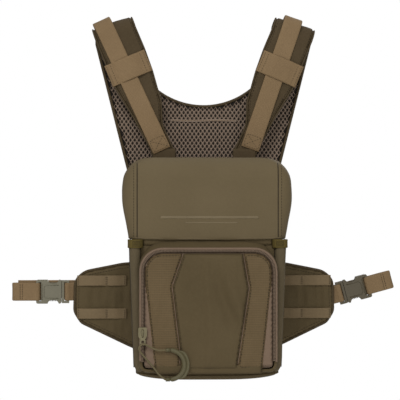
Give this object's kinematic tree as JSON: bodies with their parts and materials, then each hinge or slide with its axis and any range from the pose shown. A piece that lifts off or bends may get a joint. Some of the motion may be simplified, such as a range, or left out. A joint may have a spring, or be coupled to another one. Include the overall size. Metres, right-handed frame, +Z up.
{
  "type": "binocular harness pack",
  "caption": "Chest pack for binoculars with a flip-forward lid, zipped front pocket, folding shoulder harness with mesh yoke and hip wings with side-release buckles.",
  "frame": {"origin": "centre of the chest pad's rear face, which rests on the wearer's chest", "axes": "+X to the viewer's right seen from the front, +Y from the pack towards the wearer, +Z up"},
  "size_m": [0.4215, 0.139, 0.3944],
  "materials": {
    "shell_fabric": "smooth coated nylon, matte",
    "pack_nylon": "plain woven nylon, matte",
    "ripstop": "fine ripstop weave, matte",
    "strap_nylon": "plain woven nylon, matte",
    "webbing": "ribbed nylon webbing",
    "zip_tape": "knitted zipper tape",
    "welt": "padded grey-green stretch fabric",
    "corner_tab": "bar-tacked olive webbing",
    "spacer_mesh": "knitted spacer mesh with open cells",
    "lining": "smooth lining",
    "coil": "nylon coil",
    "buckle": "fine-grained acetal",
    "cord": "braided nylon cord",
    "grip": "moulded rubber, satin",
    "slider_metal": "painted zinc, satin"
  },
  "bodies": {
    "pack": {"chest_pad": "spacer_mesh", "chest_panel": "pack_nylon", "side_wall_left": "pack_nylon", "side_wall_right": "pack_nylon", "base_panel": "pack_nylon", "front_wall": "pack_nylon", "edge_welt_left": "welt", "edge_welt_right": "welt", "corner_tab_left": "corner_tab", "corner_tab_right": "corner_tab", "strap_anchor_left": "strap_nylon", "strap_anchor_right": "strap_nylon", "pocket_gusset": "pack_nylon", "zip_tape": "zip_tape", "zip_coil": "coil"},
    "lid": {"lid_shell": "shell_fabric", "lid_liner": "lining"},
    "pocket_flap": {"flap_panel": "pack_nylon", "flap_side_left": "ripstop", "flap_side_right": "ripstop", "flap_tape": "zip_tape"},
    "slider": {"zip_slider": "slider_metal"},
    "pull": {"pull_cord": "cord", "pull_grip": "grip"},
    "harness": {"strap_pad_left": "strap_nylon", "strap_pad_right": "strap_nylon", "strap_web_left": "webbing", "strap_web_right": "webbing", "keeper_left": "webbing", "keeper_right": "webbing"},
    "yoke": {"yoke_panel": "strap_nylon", "yoke_mesh": "spacer_mesh", "yoke_binding": "strap_nylon", "yoke_seam": "ripstop", "hang_loop": "webbing", "belt_sleeve": "strap_nylon"},
    "wing_left": {"wing_pad_left": "strap_nylon", "wing_bands_left": "webbing", "belt_web_left": "webbing", "buckle_plug_left": "buckle"},
    "wing_right": {"wing_pad_right": "strap_nylon", "wing_bands_right": "webbing", "belt_web_right": "webbing", "buckle_plug_right": "buckle"},
    "latch_upper_left": {"latch_upper_left": "buckle"},
    "latch_lower_left": {"latch_lower_left": "buckle"},
    "latch_upper_right": {"latch_upper_right": "buckle"},
    "latch_lower_right": {"latch_lower_right": "buckle"},
    "socket_left": {"buckle_socket_left": "buckle", "belt_loop_left": "webbing", "rear_web_left": "webbing"},
    "socket_right": {"buckle_socket_right": "buckle", "belt_loop_right": "webbing", "rear_web_right": "webbing"}
  },
  "joints": [
    {"name": "lid_hinge", "type": "hinge", "parent": "pack", "child": "lid", "pos_m": [0, -0.0875, 0.0355], "axis": [1, 0, 0], "range_deg": [0, 95]},
    {"name": "flap_hinge", "type": "hinge", "parent": "pack", "child": "pocket_flap", "pos_m": [0, -0.101, -0.1003], "axis": [1, 0, 0], "range_deg": [0, 60]},
    {"name": "zip_slide", "type": "slide", "parent": "pocket_flap", "child": "slider", "axis": [0, 0, 1], "range_m": [0, 0.055]},
    {"name": "pull_swing", "type": "hinge", "parent": "slider", "child": "pull", "pos_m": [-0.0684, -0.1086, -0.071], "axis": [0, 1, 0], "range_deg": [-20, 50]},
    {"name": "harness_fold", "type": "hinge", "parent": "pack", "child": "harness", "pos_m": [0, -0.00475, 0.12425], "axis": [1, 0, 0], "range_deg": [0, 40]},
    {"name": "yoke_swing", "type": "hinge", "parent": "harness", "child": "yoke", "pos_m": [0, 0.0195, 0.2658], "axis": [1, 0, 0], "range_deg": [0, 80]},
    {"name": "wing_fold_left", "type": "hinge", "parent": "pack", "child": "wing_left", "pos_m": [-0.062, -0.0045, 0], "axis": [0, 0, -1], "range_deg": [0, 55]},
    {"name": "wing_fold_right", "type": "hinge", "parent": "pack", "child": "wing_right", "pos_m": [0.062, -0.0045, 0], "axis": [0, 0, 1], "range_deg": [0, 55]},
    {"name": "buckle_slide_left", "type": "slide", "parent": "wing_left", "child": "socket_left", "axis": [-1, 0, 0], "range_m": [0, 0.028]},
    {"name": "buckle_slide_right", "type": "slide", "parent": "wing_right", "child": "socket_right", "axis": [0.9659, 0, 0.2588], "range_m": [0, 0.028]},
    {"name": "latch_upper_left", "type": "hinge", "parent": "wing_left", "child": "latch_upper_left", "pos_m": [-0.157, -0.001, -0.0171], "axis": [0, -1, 0], "range_deg": [0, 5], "stiffness_Nm_per_rad": 0.5},
    {"name": "latch_lower_left", "type": "hinge", "parent": "wing_left", "child": "latch_lower_left", "pos_m": [-0.157, -0.001, -0.0319], "axis": [0, 1, 0], "range_deg": [0, 5], "stiffness_Nm_per_rad": 0.5},
    {"name": "latch_upper_right", "type": "hinge", "parent": "wing_right", "child": "latch_upper_right", "pos_m": [0.15457, -0.001, -0.01797], "axis": [0, 1, 0], "range_deg": [0, 5], "stiffness_Nm_per_rad": 0.5},
    {"name": "latch_lower_right", "type": "hinge", "parent": "wing_right", "child": "latch_lower_right", "pos_m": [0.1584, -0.001, -0.03227], "axis": [0, -1, 0], "range_deg": [0, 5], "stiffness_Nm_per_rad": 0.5}
  ]
}
